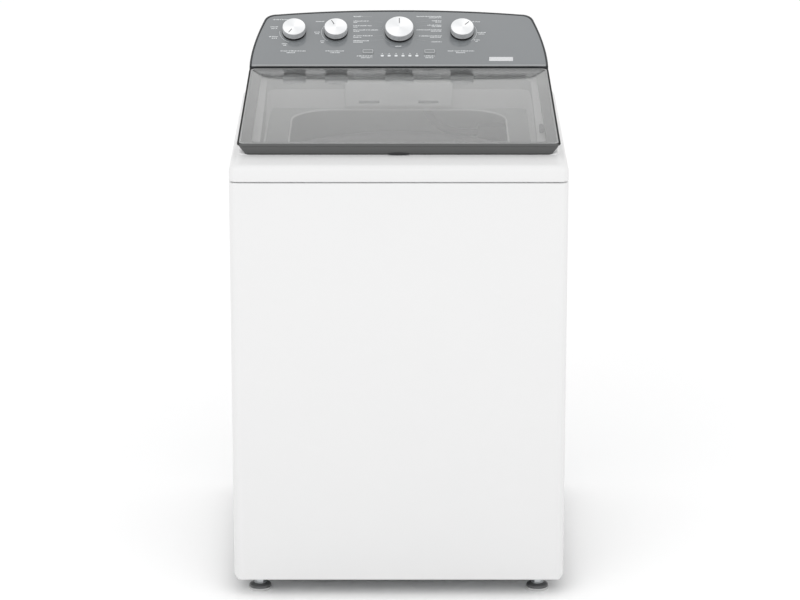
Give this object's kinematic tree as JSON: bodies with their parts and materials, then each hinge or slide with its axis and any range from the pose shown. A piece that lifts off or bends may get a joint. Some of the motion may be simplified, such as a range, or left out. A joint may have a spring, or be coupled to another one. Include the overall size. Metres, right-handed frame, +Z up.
{
  "type": "top load washing machine",
  "caption": "Top load washing machine with sloping smoked glass lid, raised grey console with knobs, white cabinet on levelling feet, and suspended tub and basket.",
  "frame": {"origin": "on the floor below the middle of the machine's box", "axes": "+Z up, the front faces -Y, +X is the machine's right as seen from the front"},
  "size_m": [0.686, 0.7, 1.0981],
  "materials": {
    "white_enamel": "gloss",
    "white_moulding": "gloss",
    "galvanised": "satin",
    "white_plastic": "satin",
    "black_plastic": "matt",
    "dark_plastic": "satin",
    "grey_fascia": "gloss",
    "board_green": "satin",
    "smoked_lens": "gloss",
    "rubber": "matt",
    "foot_rubber": "satin",
    "aluminium": "satin",
    "smoked_glass": "gloss",
    "steel": "satin",
    "basket_steel": "polished",
    "motor_paint": "satin",
    "silver_knob": "satin"
  },
  "bodies": {
    "cabinet": {"cabinet_shell": "white_enamel", "rear_panel": "galvanised", "front_base_rail": "galvanised", "rear_base_rail": "galvanised", "top_panel": "white_moulding", "fill_flume": "white_plastic", "lid_lock": "black_plastic", "hinge_bush_left": "black_plastic", "hinge_bush_right": "black_plastic", "console_housing": "dark_plastic", "console_fascia": "grey_fascia", "control_board": "board_green", "indicator_lens": "smoked_lens", "inlet_valve": "white_plastic", "fill_hose": "rubber", "drain_outlet": "black_plastic", "cord_gland": "black_plastic", "capacitor": "aluminium", "drain_hose": "rubber", "suspension_rod_front_left": "steel", "suspension_rod_front_right": "steel", "suspension_rod_rear_left": "steel", "suspension_rod_rear_right": "steel", "suspension_spring_front_left": "steel", "suspension_spring_front_right": "steel", "suspension_spring_rear_left": "steel", "suspension_spring_rear_right": "steel"},
    "lid": {"lid_frame": "dark_plastic", "lid_glass": "smoked_glass", "lid_hinge_pin_left": "steel", "lid_hinge_pin_right": "steel", "lid_strike": "black_plastic"},
    "lock_bolt": {"lock_bolt": "steel"},
    "tub": {"outer_tub": "white_plastic", "tub_ring": "white_plastic", "gearcase": "aluminium", "motor": "motor_paint", "drain_pump": "black_plastic", "drive_belt": "rubber"},
    "basket": {"wash_basket": "basket_steel", "balance_ring": "white_plastic", "spin_tube": "steel"},
    "agitation": {"wash_plate": "white_plastic", "agitator_shaft": "steel", "drive_pulley": "aluminium"},
    "motor_pulley": {"motor_pulley": "steel"},
    "option_button": {"option_button": "grey_fascia"},
    "start_button": {"start_button": "grey_fascia"},
    "temperature_knob": {"temperature_knob": "silver_knob", "temperature_knob_shaft": "steel"},
    "water_level_knob": {"water_level_knob": "silver_knob", "water_level_knob_shaft": "steel"},
    "cycle_knob": {"cycle_knob": "silver_knob", "cycle_knob_shaft": "steel"},
    "rinse_knob": {"rinse_knob": "silver_knob", "rinse_knob_shaft": "steel"},
    "foot_front_left": {"foot_front_left": "foot_rubber"},
    "foot_front_right": {"foot_front_right": "foot_rubber"},
    "foot_rear_left": {"foot_rear_left": "foot_rubber"},
    "foot_rear_right": {"foot_rear_right": "foot_rubber"}
  },
  "joints": [
    {"name": "lid_hinge", "type": "hinge", "parent": "cabinet", "child": "lid", "pos_m": [0, 0.19544, 0.99155], "axis": [-1, 0, 0], "range_deg": [0, 100]},
    {"name": "lock_slide", "type": "slide", "parent": "cabinet", "child": "lock_bolt", "axis": [-1, 0, 0], "range_m": [0, 0.008]},
    {"name": "temperature_knob_turn", "type": "hinge", "parent": "cabinet", "child": "temperature_knob", "pos_m": [-0.228, 0.29106, 1.05984], "axis": [0, -0.5592, 0.829], "range_deg": [-120, 0]},
    {"name": "water_level_knob_turn", "type": "hinge", "parent": "cabinet", "child": "water_level_knob", "pos_m": [-0.137, 0.29106, 1.05984], "axis": [0, -0.5592, 0.829], "range_deg": [0, 105]},
    {"name": "cycle_knob_turn", "type": "hinge", "parent": "cabinet", "child": "cycle_knob", "pos_m": [0.001, 0.29106, 1.05984], "axis": [0, -0.5592, 0.829], "continuous": true},
    {"name": "rinse_knob_turn", "type": "hinge", "parent": "cabinet", "child": "rinse_knob", "pos_m": [0.138, 0.29106, 1.05984], "axis": [0, -0.5592, 0.829], "range_deg": [-105, 0]},
    {"name": "option_button_press", "type": "slide", "parent": "cabinet", "child": "option_button", "axis": [0, 0.5592, -0.829], "range_m": [0, 0.0015], "stiffness_N_per_m": 600},
    {"name": "start_button_press", "type": "slide", "parent": "cabinet", "child": "start_button", "axis": [0, 0.5592, -0.829], "range_m": [0, 0.0015], "stiffness_N_per_m": 600},
    {"name": "tub_travel", "type": "slide", "parent": "cabinet", "child": "tub", "axis": [0, 0, 1], "range_m": [-0.012, 0.012], "stiffness_N_per_m": 12000, "springref_m": 0.0289, "deforming": ["suspension_spring_front_left", "suspension_spring_front_right", "suspension_spring_rear_left", "suspension_spring_rear_right", "drain_hose"]},
    {"name": "basket_spin", "type": "hinge", "parent": "tub", "child": "basket", "pos_m": [0, -0.02, 0.27], "axis": [0, 0, 1], "continuous": true},
    {"name": "wash_plate_turn", "type": "hinge", "parent": "tub", "child": "agitation", "pos_m": [0, -0.02, 0.27], "axis": [0, 0, 1], "continuous": true},
    {"name": "motor_spin", "type": "hinge", "parent": "tub", "child": "motor_pulley", "pos_m": [0.15, 0.07, 0.115], "axis": [0, 0, 1], "continuous": true},
    {"name": "foot_front_left_turn", "type": "hinge", "parent": "cabinet", "child": "foot_front_left", "pos_m": [-0.29, -0.31, 0], "axis": [0, 0, 1], "continuous": true},
    {"name": "foot_front_right_turn", "type": "hinge", "parent": "cabinet", "child": "foot_front_right", "pos_m": [0.29, -0.31, 0], "axis": [0, 0, 1], "continuous": true},
    {"name": "foot_rear_left_turn", "type": "hinge", "parent": "cabinet", "child": "foot_rear_left", "pos_m": [-0.29, 0.295, 0], "axis": [0, 0, 1], "continuous": true},
    {"name": "foot_rear_right_turn", "type": "hinge", "parent": "cabinet", "child": "foot_rear_right", "pos_m": [0.29, 0.295, 0], "axis": [0, 0, 1], "continuous": true}
  ],
  "couplings": [
    {"joint": "motor_spin", "follows": "wash_plate_turn", "ratio": 3.8636}
  ]
}
